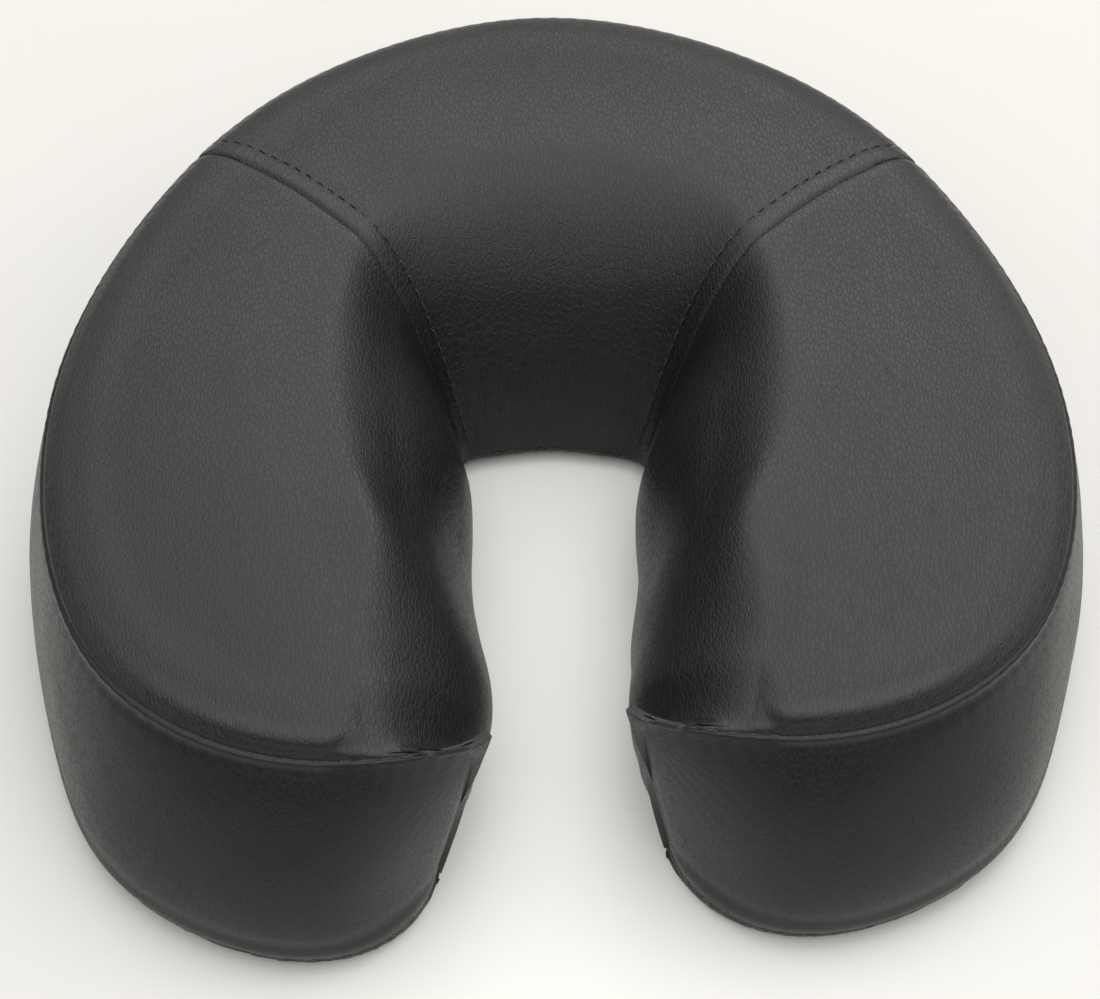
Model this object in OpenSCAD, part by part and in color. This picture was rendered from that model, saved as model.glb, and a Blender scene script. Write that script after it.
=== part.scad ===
// Horseshoe face cradle cushion: foam core in a sewn cover with a loop-fabric base.
// Origin at the middle of the base on the surface it rests on. +Z up, +Y towards the
// closed crown, -Y towards the open feet. The cushion is the same on both sides of X = 0.

/* [Outline] */
// Width of the top panels, seam to seam
seam_w = 270; // [256:1:284]
// Depth of the top panels, feet to crown
seam_d = 268; // [254:1:282]
// How far the side band stands out past the top seam at its widest
flare = 16; // [10:1:20]

/* [Heights] */
// Height of the seam between the top panels and the side band
seam_z = 68; // [62:1:74]
// Height of the ridge round the face hole
ridge_z = 79; // [76:1:86]
// Height of the closing seam between the cover and the loop base
base_z = 6; // [4:1:9]
// Share of the walls, from the base up, that is backed by the firm base foam
split_share = 0.45; // [0.35:0.05:0.6]

/* [Materials] */
// Thickness of the cover panels with their seam allowance
skin_t = 1.4; // [1:0.1:2]
// Thickness of the loop-fabric base panel
loop_t = 1.6; // [1.2:0.1:2.4]
// How far the base panel rolls in before it lies flat
roll_in = 6; // [4:1:9]
// Diameter of the sewing thread
thread_d = 0.8; // [0.6:0.1:1.2]
// Distance from the crown seam to its topstitching
topstitch_gap = 6.5; // [4:0.5:8]

/* [Resolution] */
// Steps between neighbouring outline stations
steps = 5; // [2:1:6]

/* [Hidden] */

half = [seam_w / 2, seam_d / 2];
// The outline is drawn about the middle of the top seam; this moves the middle of the
// footprint onto Y = 0
shift_y = 0.0318 * half[1];

// Stations from the inner front corner of a foot, round the outside, to the middle of
// the crown. Plan points are shares of the half width and half depth; heights are shares
// of the height between the closing seam and the ridge.
// [seam point, ridge point, inner wall point, rim point, ridge height, flare direction]
STATIONS = [
    [[0.13, -0.95], [0.142, -0.95], [0.15, -0.95], [0.235, -0.955], 0.72, [1.04, -0.05]],
    [[0.23, -0.995], [0.172, -0.895], [0.115, -0.875], [0.228, -0.85], 0.90, [0.80, -0.98]],
    [[0.50, -1.01], [0.325, -0.74], [0.05, -0.74], [0.22, -0.73], 0.96, [0.38, -1.40]],
    [[0.775, -0.90], [0.375, -0.56], [0.125, -0.54], [0.16, -0.54], 0.99, [0.82, -0.85]],
    [[0.98, -0.605], [0.43, -0.36], [0.145, -0.34], [0.186, -0.34], 1.00, [0.52, -0.17]],
    [[1.02, -0.04], [0.48, -0.08], [0.15, -0.11], [0.19, -0.11], 1.00, [0.76, 0.00]],
    [[0.795, 0.56], [0.43, 0.28], [0.25, 0.13], [0.205, 0.075], 0.975, [0.54, 0.38]],
    [[0.445, 0.91], [0.27, 0.49], [0.15, 0.19], [0.12, 0.125], 0.99, [0.28, 0.48]],
    [[0.00, 1.05], [0.00, 0.56], [0.00, 0.21], [0.00, 0.14], 1.00, [0.00, 0.50]]
];
LAST = len(STATIONS) - 1;
SEAM = 0;
RIDGE = 1;
WALL = 2;
RIM = 3;
HEIGHT = 4;
FLARE = 5;

// Station numbers along the whole horseshoe, right foot to left foot
u_end = 2 * LAST;
u_crown_right = 6;
u_crown_left = u_end - u_crown_right;
// The foam stops short of the sharp inner corners of the feet
u_foam = 0.25;
// The loop base reaches a little further into the corners
u_loop = 0.12;
// The front corner is a straight edge; full rounding is reached at this station
u_round = 1.6;

// Steps across: outer seam to ridge, ridge to rim, and down the side band
n_top = 6;
n_wall = 9;
n_side = 6;
// Steps at which the two foams meet, counted from the top
n_split = round(n_wall * (1 - split_share));
side_split = round(n_side * (1 - split_share));

thread_sides = 6;
eps = 0.01;

// A value at a station number, mirrored past the middle of the crown
function mirrored(i) = i > LAST ? u_end - i : abs(i);
function side_of(i) = i > LAST ? -1 : 1;
function plan(i, what) =
    let (p = STATIONS[mirrored(i)][what])
    [p[0] * half[0] * side_of(i), p[1] * half[1] + shift_y];
function flare_at(i) =
    let (p = STATIONS[mirrored(i)][FLARE])
    [p[0] * flare * side_of(i), p[1] * flare];
function height_at(i) = base_z + STATIONS[mirrored(i)][HEIGHT] * (ridge_z - base_z);

// Catmull-Rom curve through four neighbours
function catmull(a, b, c, d, f) =
    0.5 * (2 * b + (c - a) * f + (2 * a - 5 * b + 4 * c - d) * f * f
           + (3 * b - a - 3 * c + d) * f * f * f);
function at_end(i) = min(max(i, 0), u_end);
function plan_curve(u, what) =
    let (i = min(floor(u), u_end - 1))
    catmull(plan(at_end(i - 1), what), plan(i, what), plan(i + 1, what),
            plan(at_end(i + 2), what), u - i);
function flare_curve(u) =
    let (i = min(floor(u), u_end - 1))
    catmull(flare_at(at_end(i - 1)), flare_at(i), flare_at(i + 1),
            flare_at(at_end(i + 2)), u - i);
function height_curve(u) =
    let (i = min(floor(u), u_end - 1))
    catmull(height_at(at_end(i - 1)), height_at(i), height_at(i + 1),
            height_at(at_end(i + 2)), u - i);

function mix(a, b, f) = a + (b - a) * f;
function bezier(a, b, c, d, f) =
    let (g = 1 - f)
    a * g * g * g + b * 3 * g * g * f + c * 3 * g * f * f + d * f * f * f;
function raised(p, z) = [p[0], p[1], z];
function unit(v) = v / max(norm(v), eps);
// 0 on the straight corner edge of a foot, 1 where the section is fully rounded
function rounding(u) =
    let (f = min(1, min(u, u_end - u) / u_round))
    f * f * (3 - 2 * f);

// Corners of a section as points in space
function seam_point(u) = raised(plan_curve(u, SEAM), seam_z);
function ridge_point(u) = raised(plan_curve(u, RIDGE), height_curve(u));
function rim_point(u) = raised(plan_curve(u, RIM), base_z);
// Lower edge of the side band; it meets the rim at the front corner of a foot
function hem_point(u) =
    let (f = rounding(u), spread = raised(plan_curve(u, SEAM) + 0.85 * flare_curve(u), base_z))
    mix(mix(rim_point(u), spread, min(1, 3 * min(u, u_end - u))), spread, f);

// Top panel from the outer seam over the ridge: crowned, flat at the ridge
function top_curve(u, f) =
    let (a = seam_point(u), d = ridge_point(u), w = rounding(u))
    let (b = raised(mix(a, d, mix(1 / 3, 0.08, w)), mix(a[2], d[2], mix(1 / 3, 0.70, w))))
    let (c = raised(mix(a, d, mix(2 / 3, 0.55, w)), mix(a[2], d[2], mix(2 / 3, 1.0, w))))
    bezier(a, b, c, d, f);
// From the ridge down the inner wall to the rim: flat at the ridge, steep at the rim
function wall_curve(u, f) =
    let (a = ridge_point(u), d = rim_point(u), w = rounding(u), m = plan_curve(u, WALL))
    let (b_plan = mix(mix(a, d, 1 / 3), mix(a, raised(m, 0), 0.55), w))
    let (c_plan = mix(mix(a, d, 2 / 3), raised(m, 0), w))
    let (b = raised(b_plan, mix(a[2], d[2], mix(1 / 3, 0, w))))
    let (c = raised(c_plan, mix(a[2], d[2], mix(2 / 3, 0.52, w))))
    bezier(a, b, c, d, f);
// Side band from the outer seam down to the closing seam: bulged, rolled under at the hem
function side_curve(u, f) =
    let (a = seam_point(u), d = hem_point(u), w = rounding(u), out = raised(flare_curve(u), 0))
    let (b = raised(mix(mix(a, d, 1 / 3), a + 0.50 * out, w), mix(a[2], d[2], 0.25)))
    let (c = raised(mix(mix(a, d, 2 / 3), a + 1.15 * out, w), mix(a[2], d[2], 0.80)))
    bezier(a, b, c, d, f);

// Middle of a section; near the feet it stays back in the body of the foot
function middle(u) =
    let (v = min(max(u, 1.4), u_end - 1.4))
    (seam_point(v) + ridge_point(v) + rim_point(v) + hem_point(v)) / 4;
function inwards(p, u, depth) = p + depth * unit(middle(u) - p);

// Lines across a section: cover outside and, one skin in, the foam face
function top_line(u, depth) =
    concat([for (i = [0:n_top]) inwards(top_curve(u, i / n_top), u, depth)],
           [for (i = [1:n_wall]) inwards(wall_curve(u, i / n_wall), u, depth)]);
function side_line(u, depth) =
    [for (i = [0:n_side]) inwards(side_curve(u, i / n_side), u, depth)];
// Line under a section from rim to hem; lift raises its flat part
function base_line(u, depth, lift) =
    let (a = inwards(rim_point(u), u, depth), d = inwards(hem_point(u), u, depth))
    let (roll = min(roll_in, 0.3 * norm(d - a)) * unit([d[0] - a[0], d[1] - a[1], 0]))
    [a, raised(a + 0.3 * roll, mix(lift, base_z, 0.3)), raised(a + roll, lift),
     raised(d - roll, lift), raised(d - 0.3 * roll, mix(lift, base_z, 0.3)), d];

function reverse(list) = [for (i = [len(list) - 1:-1:0]) list[i]];
function part_of(list, first, last) = [for (i = [first:last]) list[i]];
// Station numbers from a to b in even steps, with both ends
function stations(a, b) =
    concat([a], [for (i = [floor(a * steps + eps) + 1:ceil(b * steps - eps) - 1]) i / steps], [b]);

// Solid through a row of closed rings with equal point counts, capped at both ends.
// A sheet's ring goes out along one face and back along the other, so its second half
// turns the diagonals of its quads to keep both faces alike; so does the mirrored half.
// The ends of a sheet are ladders from face to face, the same on both sides of a seam.
module loft(rings, sheet = false) {
    n = len(rings[0]);
    m = len(rings);
    points = [for (ring = rings) each ring];
    sides = [for (r = [0:m - 2], i = [0:n - 1])
        let (j = (i + 1) % n)
        let (a = r * n + i, b = r * n + j, c = (r + 1) * n + j, d = (r + 1) * n + i)
        let (turned = (sheet && i >= n / 2) != (points[a][0] + points[c][0] < 0))
        each (turned ? [[a, b, c], [a, c, d]] : [[a, b, d], [b, c, d]])];
    far = (m - 1) * n;
    flat_caps = [[for (i = [n - 1:-1:0]) i], [for (i = [0:n - 1]) far + i]];
    ladders = [for (i = [0:n / 2 - 2])
        let (j = i + 1, k = n - 1 - i, l = n - 2 - i)
        each [[k, l, j], [k, j, i], [far + i, far + j, far + k], [far + j, far + l, far + k]]];
    caps = sheet ? ladders : flat_caps;
    polyhedron(points = points, faces = concat(sides, caps), convexity = 8);
}

// A sewn top panel between two stations
module top_panel(u_from, u_to) {
    loft([for (u = stations(u_from, u_to))
        concat(top_line(u, 0), reverse(top_line(u, skin_t)))], sheet = true);
}

// A round thread along a path of points
module thread(path) {
    r = thread_d / 2;
    last = len(path) - 1;
    loft([for (i = [0:last])
        let (along = unit(path[min(i + 1, last)] - path[max(i - 1, 0)]))
        let (side = unit(cross(along, abs(along[2]) > 0.9 ? [0, 1, 0] : [0, 0, 1])))
        let (up = cross(side, along))
        [for (k = [0:thread_sides - 1])
            let (a = 360 * k / thread_sides)
            path[i] + r * (cos(a) * side + sin(a) * up)]]);
}

// Point on the crown panel, a topstitch gap away from the crown seam; toward is 1 or -1
function topstitch_point(u_seam, toward, i) =
    let (a = top_line(u_seam, 0)[i], b = top_line(u_seam + toward * 0.5, 0)[i])
    let (share = 0.5 * topstitch_gap / norm(b - a))
    top_line(u_seam + toward * share, -thread_d / 2)[i];

module foam_base() {
    color([0.86, 0.84, 0.74])
    loft([for (u = stations(u_foam, u_end - u_foam))
        let (top = top_line(u, skin_t), side = side_line(u, skin_t))
        concat(part_of(top, n_top + n_split, n_top + n_wall - 1),
               base_line(u, skin_t, loop_t),
               reverse(part_of(side, side_split, n_side - 1)))]);
}

module foam_comfort_layer() {
    color([0.93, 0.90, 0.78])
    loft([for (u = stations(u_foam, u_end - u_foam))
        let (top = top_line(u, skin_t), side = side_line(u, skin_t))
        concat(part_of(top, 0, n_top + n_split), reverse(part_of(side, 1, side_split)))]);
}

module crown_panel() {
    color([0.13, 0.13, 0.14]) top_panel(u_crown_right, u_crown_left);
}

module cheek_panel_left() {
    color([0.12, 0.12, 0.13]) top_panel(u_crown_left, u_end);
}

// The two cheek panels are cut as a pair from one pattern
module cheek_panel_right() {
    color([0.12, 0.12, 0.13]) mirror([1, 0, 0]) top_panel(u_crown_left, u_end);
}

module boxing_band() {
    color([0.10, 0.10, 0.11])
    loft([for (u = stations(0, u_end))
        concat(side_line(u, skin_t), reverse(side_line(u, 0)))], sheet = true);
}

module loop_base_panel() {
    color([0.05, 0.05, 0.05])
    loft([for (u = stations(u_loop, u_end - u_loop))
        concat(base_line(u, 0, 0), reverse(base_line(u, skin_t, loop_t)))], sheet = true);
}

module topstitch_left() {
    color([0.04, 0.04, 0.04])
    thread([for (i = [0:n_top + n_wall]) topstitch_point(u_crown_left, -1, i)]);
}

module topstitch_right() {
    color([0.04, 0.04, 0.04])
    thread([for (i = [0:n_top + n_wall]) topstitch_point(u_crown_right, 1, i)]);
}

// Thread along the seam between the top panels and the side band
module boxing_seam_thread() {
    color([0.04, 0.04, 0.04])
    thread([for (u = stations(0, u_end)) inwards(seam_point(u), u, -thread_d / 2)]);
}

// Thread of the closing seam, round the outside of the base
module base_seam_thread() {
    color([0.04, 0.04, 0.04])
    thread([for (u = stations(u_loop, u_end - u_loop)) inwards(hem_point(u), u, -thread_d / 2)]);
}

foam_base();
foam_comfort_layer();
crown_panel();
cheek_panel_left();
cheek_panel_right();
boxing_band();
loop_base_panel();
topstitch_left();
topstitch_right();
boxing_seam_thread();
base_seam_thread();
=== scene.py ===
"""Looks of the horseshoe face cradle cushion: sewn cover, foam core and loop base."""

import math
from types import SimpleNamespace

import bpy
import numpy as np
from mathutils import Matrix, Vector


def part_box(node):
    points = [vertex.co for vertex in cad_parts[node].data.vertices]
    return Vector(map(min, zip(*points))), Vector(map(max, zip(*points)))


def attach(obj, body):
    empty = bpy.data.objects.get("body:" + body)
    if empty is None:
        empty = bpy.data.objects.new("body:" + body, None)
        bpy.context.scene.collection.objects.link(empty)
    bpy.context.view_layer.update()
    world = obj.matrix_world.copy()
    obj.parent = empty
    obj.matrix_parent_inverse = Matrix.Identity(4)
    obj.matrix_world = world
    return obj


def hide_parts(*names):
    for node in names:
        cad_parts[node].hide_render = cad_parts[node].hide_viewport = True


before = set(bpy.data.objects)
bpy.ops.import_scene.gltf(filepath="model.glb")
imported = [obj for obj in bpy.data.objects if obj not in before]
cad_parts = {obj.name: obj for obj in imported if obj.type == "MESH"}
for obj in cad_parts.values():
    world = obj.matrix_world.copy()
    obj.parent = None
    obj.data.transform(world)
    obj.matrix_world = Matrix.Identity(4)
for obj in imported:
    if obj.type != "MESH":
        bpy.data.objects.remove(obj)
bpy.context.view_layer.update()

MM = 0.001

# ------------------------------------------------------------------ the outline
# Stations from the inner front corner of the right foot, round the outside, to the middle
# of the crown; the left half mirrors them. Plan points are shares of the half width and
# half depth, heights are shares of the height between the closing seam and the ridge.
# seam, ridge, inner wall, rim, ridge height, flare of the side band
STATIONS = [
    [[0.13, -0.95], [0.142, -0.95], [0.15, -0.95], [0.235, -0.955], 0.72, [1.04, -0.05]],
    [[0.23, -0.995], [0.24, -0.978], [0.12, -0.875], [0.228, -0.85], 0.865, [0.80, -0.98]],
    [[0.50, -1.01], [0.39, -0.83], [0.05, -0.74], [0.22, -0.73], 0.955, [0.38, -1.40]],
    [[0.775, -0.90], [0.375, -0.56], [0.125, -0.54], [0.16, -0.54], 0.99, [0.82, -0.85]],
    [[0.98, -0.605], [0.43, -0.36], [0.145, -0.34], [0.186, -0.34], 1.00, [0.52, -0.17]],
    [[1.02, -0.04], [0.48, -0.08], [0.15, -0.11], [0.19, -0.11], 1.00, [0.76, 0.00]],
    [[0.795, 0.56], [0.43, 0.28], [0.25, 0.13], [0.205, 0.075], 0.975, [0.54, 0.38]],
    [[0.445, 0.91], [0.27, 0.49], [0.15, 0.19], [0.12, 0.125], 0.99, [0.28, 0.48]],
    [[0.00, 1.05], [0.00, 0.56], [0.00, 0.21], [0.00, 0.14], 1.00, [0.00, 0.50]],
]
END = 2 * (len(STATIONS) - 1)
CROWN_RIGHT = 6
CROWN_LEFT = END - CROWN_RIGHT
FOAM_START = 0.5
LOOP_START = 0.03
# The section is straight-sided at the ends of the feet. The top and side band have their full
# roundness this many stations from an end, and the inner wall sooner.
ROUND_AT = 1.6
WALL_ROUND_AT = 0.7
# Stations where the flat corner of each foot's seam ends in a small pucker
PUCKER_RIGHT = 1.63
PUCKER_LEFT = END - 1.68
PUCKER_FADE = 0.14
# On that corner the ridge is drawn this share of the way to the outer seam. It leaves the seam
# between these two stations from the end.
RIDGE_TO_SEAM = 0.85
RIDGE_LEAVES = (1.40, 1.85)


class Spline:
    """Natural cubic spline through rows of values at the whole numbers 0, 1, 2 and so on."""

    def __init__(self, values):
        self.y = np.asarray(values, float)
        n = len(self.y)
        system = 4 * np.eye(n) + np.eye(n, k=1) + np.eye(n, k=-1)
        system[0] = np.eye(n)[0]
        system[-1] = np.eye(n)[-1]
        bend = np.zeros_like(self.y)
        bend[1:-1] = 6 * (self.y[2:] - 2 * self.y[1:-1] + self.y[:-2])
        self.m = np.linalg.solve(system, bend.reshape(n, -1)).reshape(self.y.shape)

    def __call__(self, u):
        u = np.asarray(u, float)
        i = np.clip(np.floor(u).astype(int), 0, len(self.y) - 2)
        f = (u - i).reshape(u.shape + (1,) * (self.y.ndim - 1))
        g = 1 - f
        bent = (g**3 - g) * self.m[i] + (f**3 - f) * self.m[i + 1]
        return g * self.y[i] + f * self.y[i + 1] + bent / 6


def outline(column, flips=True):
    """Spline of one column of STATIONS over both halves; flips turns x round on the left half."""
    right = np.array([np.atleast_1d(row[column]) for row in STATIONS], float)
    left = right[-2::-1].copy()
    if flips:
        left[:, 0] *= -1
    return Spline(np.vstack([right, left]))


SEAM, RIDGE, WALL, RIM = (outline(column) for column in range(4))
HEIGHT = outline(4, flips=False)
FLARE_WAY = outline(5)

# Sizes of the cover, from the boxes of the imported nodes
_shares = SEAM(np.linspace(0, END, 801))
HALF_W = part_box("cheek_panel_right")[1].x / _shares[:, 0].max()
HALF_D = (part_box("crown_panel")[1].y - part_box("cheek_panel_right")[0].y) / np.ptp(_shares[:, 1])
SHIFT_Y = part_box("crown_panel")[1].y - HALF_D * _shares[:, 1].max()
SEAM_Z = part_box("boxing_band")[1].z
BASE_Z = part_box("boxing_band")[0].z
RIDGE_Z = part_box("crown_panel")[1].z
FLARE = 0.1185 * HALF_W
ROLL_IN = BASE_Z

# Inner wall: control points from the ridge down to the rim, as shares of the way to the wall
# line and shares of the height. The cheeks are plump and tucked under, the crown slopes gently.
CHEEK_WALL = [[0.28, 0.0], [0.62, 0.32], [1.08, 0.52]]
CROWN_WALL = [[0.40, 0.0], [0.85, 0.22], [1.0, 0.62]]

SKIN = 1.2 * MM
LOOP_SKIN = 1.4 * MM
# The crown seams bow towards the back between the outer seam and the ridge
CROWN_ARC = 5.0 * MM
TOPSTITCH_GAP = 6.5 * MM
TOPSTITCH_PITCH = 4.6 * MM
SEAM_PITCH = 5.2 * MM
# The left foot stands this much further forward than drawn, and the right foot less far
FOOT_DIFFERENCE = 4.2 * MM
# The slot lies this much to the left of the middle. At its narrowest place this share of the
# shift is taken back, which leaves the slot a little to the right there.
SLOT_SHIFT = 0.9 * MM
WAIST_SHARE = 1.9
# The right foot bulges in this much, low at its front
LOW_BULGE = 2.6 * MM


def mix(a, b, f):
    return a + (b - a) * f


def smooth(f):
    f = np.clip(f, 0, 1)
    return f * f * (3 - 2 * f)


def bump(d, middle, width):
    """1 at the middle, falling away over the width on both sides."""
    return np.exp(-(((d - middle) / width) ** 2))


def raised(p, z):
    z = np.broadcast_to(np.asarray(z, float)[..., None], p.shape[:-1] + (1,))
    return np.concatenate([p, z], -1)


def bezier(a, b, c, d, f):
    g = 1 - f
    return a * g**3 + 3 * b * g * g * f + 3 * c * g * f * f + d * f**3


def plan(curve, u):
    return curve(u) * [HALF_W, HALF_D] + [0, SHIFT_Y]


def section(u):
    """Corner points of the cross sections at the stations u, ready to be drawn along f."""
    u = np.asarray(u, float)
    edge = np.minimum(u, END - u)
    w = smooth(edge / ROUND_AT)
    s = SimpleNamespace(u=u, w=w[:, None, None])
    s.crown = smooth((edge - 5.4) / 1.4)[:, None, None]
    s.plump = smooth(edge / WALL_ROUND_AT)[:, None, None]
    seam = raised(plan(SEAM, u), np.full(len(u), SEAM_Z))
    ridge = raised(plan(RIDGE, u), BASE_Z + HEIGHT(u)[:, 0] * (RIDGE_Z - BASE_Z))
    first, last = RIDGE_LEAVES
    ridge = mix(ridge, seam, RIDGE_TO_SEAM * smooth((last - edge) / (last - first))[:, None])
    rim = raised(plan(RIM, u), np.full(len(u), BASE_Z))
    out = raised(FLARE_WAY(u) * FLARE, np.zeros(len(u)))
    spread = raised((seam + 0.85 * out)[:, :2], np.full(len(u), BASE_Z))
    corner = mix(rim, spread, np.minimum(1, 3 * edge)[:, None])
    hem = mix(corner, spread, w[:, None])
    s.seam, s.ridge, s.rim, s.out, s.hem = (p[:, None, :] for p in (seam, ridge, rim, out, hem))
    s.wall = plan(WALL, u)[:, None, :]
    return s


def bent_twice(a, b, m, c, d, f):
    """Bezier curve with three control points between its ends."""
    g = 1 - f
    return a * g**4 + 4 * b * g**3 * f + 6 * m * g * g * f * f + 4 * c * g * f**3 + d * f**4


def between(a, d, f_plan, f_z):
    """A point part of the way from a to d, with its own share for the height."""
    return np.concatenate([mix(a[..., :2], d[..., :2], f_plan), mix(a[..., 2:], d[..., 2:], f_z)], -1)


def top_surface(s, f):
    """Top panel from the outer seam over to the ridge."""
    b = between(s.seam, s.ridge, mix(1 / 3, 0.08, s.w), mix(1 / 3, 0.70, s.w))
    c = between(s.seam, s.ridge, mix(2 / 3, 0.55, s.w), mix(2 / 3, 1.0, s.w))
    p = bezier(s.seam, b, c, s.ridge, f[None, :, None])
    near = bump(np.minimum(s.u, END - s.u), CROWN_RIGHT, 0.9)
    p[..., 1] += CROWN_ARC * near[:, None] * np.sin(math.pi * f)
    return p


def wall_surface(s, f):
    """Inner wall: over the ridge, down its slope, and tucked in to the rim."""
    points = []
    for share, cheek, crown in zip((1 / 4, 2 / 4, 3 / 4), CHEEK_WALL, CROWN_WALL):
        reach = mix(cheek[0], crown[0], s.crown)
        drop = mix(cheek[1], crown[1], s.crown)
        p = between(s.ridge, s.rim, share, mix(share, drop, s.plump))
        p[..., :2] = mix(p[..., :2], mix(s.ridge[..., :2], s.wall, reach), s.plump)
        points.append(p)
    return bent_twice(s.ridge, *points, s.rim, f[None, :, None])


def side_surface(s, f):
    """Side band from the outer seam down to the closing seam, rolled under at the hem."""
    b = between(s.seam, s.hem, 1 / 3, 0.25)
    c = between(s.seam, s.hem, 2 / 3, 0.80)
    b[..., :2] = mix(b[..., :2], (s.seam + 0.50 * s.out)[..., :2], s.w)
    c[..., :2] = mix(c[..., :2], (s.seam + 1.15 * s.out)[..., :2], s.w)
    return bezier(s.seam, b, c, s.hem, f[None, :, None])


def base_surface(s, f):
    """Underside from the rim to the hem: rolls in at both edges and lies flat between them."""
    run = s.hem - s.rim
    width = np.linalg.norm(run, axis=-1, keepdims=True)
    way = run / np.maximum(width, 1e-6)
    roll = np.minimum(ROLL_IN, 0.3 * width)
    near = np.minimum(f, 1 - f)[None, :, None]
    turn = np.minimum(near / 0.2, 1) * math.pi / 2
    flat = np.maximum(near - 0.2, 0) / 0.3
    depth = roll * (1 - np.cos(turn)) + (width / 2 - roll) * flat
    start = np.where((f < 0.5)[None, :, None], s.rim, s.hem)
    sign = np.where(f < 0.5, 1.0, -1.0)[None, :, None]
    p = start + sign * way * depth
    p[..., 2] = (BASE_Z * (1 - np.sin(turn)))[..., 0]
    return p


def middle(u):
    """Middle of the section at u; near the feet it stays back in the body of the foot."""
    s = section(np.clip(u, 1.4, END - 1.4))
    return (s.seam + s.ridge + s.rim + s.hem) / 4


def unit(v):
    return v / np.maximum(np.linalg.norm(v, axis=-1, keepdims=True), 1e-9)


def normals(p):
    """Unit normals of a grid of points: across its rows, then along them."""
    return unit(np.cross(np.gradient(p, axis=0), np.gradient(p, axis=1)))


def lengths(p, axis):
    """Distance travelled along one axis of a grid of points, from its first row or column."""
    steps = np.linalg.norm(np.diff(p, axis=axis), axis=-1)
    return np.concatenate([np.zeros_like(np.take(steps, [0], axis)), np.cumsum(steps, axis)], axis)


def uneven(p, size, seed):
    """Smooth unevenness between -1 and 1 over points in space; size is its typical width."""
    rng = np.random.default_rng(seed)
    total = np.zeros(p.shape[:-1])
    for _ in range(9):
        way = unit(rng.normal(size=3)) * 2 * math.pi / (size * rng.uniform(0.7, 1.6))
        total += np.sin(p @ way + rng.uniform(0, 2 * math.pi))
    return total / 9


def pulled(p):
    """The two feet of a sewn cushion are never quite alike: moves points off the even outline."""
    out = p.copy()
    side = np.clip(p[..., 0] / (0.12 * HALF_W), -1, 1)
    out[..., 1] += FOOT_DIFFERENCE * side * smooth(-p[..., 1] / HALF_D)
    near_slot = bump(np.abs(p[..., 0]), 0, 0.35 * HALF_W)
    waist = bump(p[..., 1], -0.64 * HALF_D, 0.14 * HALF_D)
    low_front = smooth(1 - p[..., 2] / SEAM_Z) * bump(p[..., 1], -0.9 * HALF_D, 0.11 * HALF_D)
    shift = SLOT_SHIFT * (1 - WAIST_SHARE * waist) + LOW_BULGE * low_front * smooth(side)
    out[..., 0] -= near_slot * shift
    return out


# ------------------------------------------------------------------ the filling's pressure
BLANK_STEPS = 8
BLANK_TOP = 11
BLANK_WALL = 13
BLANK_BASE = 7
BLANK_SIDE = 11
BLANK_SKIP = 3
SLACK = 0.8 * MM
SWELL_CAP = 5.0 * MM
# The foam gives way this much where the cover is drawn in over it
FOAM_GIVES = 0.4 * MM
FRAMES = 20
# Rounds of smoothing of the result along the seams, against folds that the filling would push out
CALM = 14


def blank():
    """Coarse closed tube of the whole cover, as rows of points: top, inner wall, base and side."""
    s = section(np.arange(END * BLANK_STEPS + 1) / BLANK_STEPS)
    top = top_surface(s, np.linspace(0, 1, BLANK_TOP))
    wall = wall_surface(s, np.linspace(0, 1, BLANK_WALL))
    base = base_surface(s, np.linspace(0, 1, BLANK_BASE))
    side = side_surface(s, np.linspace(1, 0, BLANK_SIDE))
    return np.concatenate([top, wall[:, 1:], base[:, 1:], side[:, 1:-1]], 1)


def held():
    """How firmly each point of the blank is held: seams, base and the ends of the feet."""
    u = np.arange(END * BLANK_STEPS + 1) / BLANK_STEPS
    row_count = BLANK_TOP + BLANK_WALL + BLANK_BASE + BLANK_SIDE - 4
    rows = np.arange(row_count)
    rim_row = BLANK_TOP + BLANK_WALL - 2
    hem_row = rim_row + BLANK_BASE - 1
    seam_rows = (rows == 0) | ((rows >= rim_row) & (rows <= hem_row))
    free_rows = np.minimum(rows, row_count - rows)
    ends = smooth((np.minimum(u, END - u) - 0.5) / 0.8)
    near_crown_seam = np.maximum(bump(u, CROWN_RIGHT, 0.1), bump(u, CROWN_LEFT, 0.1))
    pin = np.maximum(1 - ends[:, None], 0.9 * near_crown_seam[:, None] * (free_rows > 0))
    pin = np.maximum(pin, np.where(seam_rows, 1.0, 0.0)[None, :])
    return pin


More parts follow.
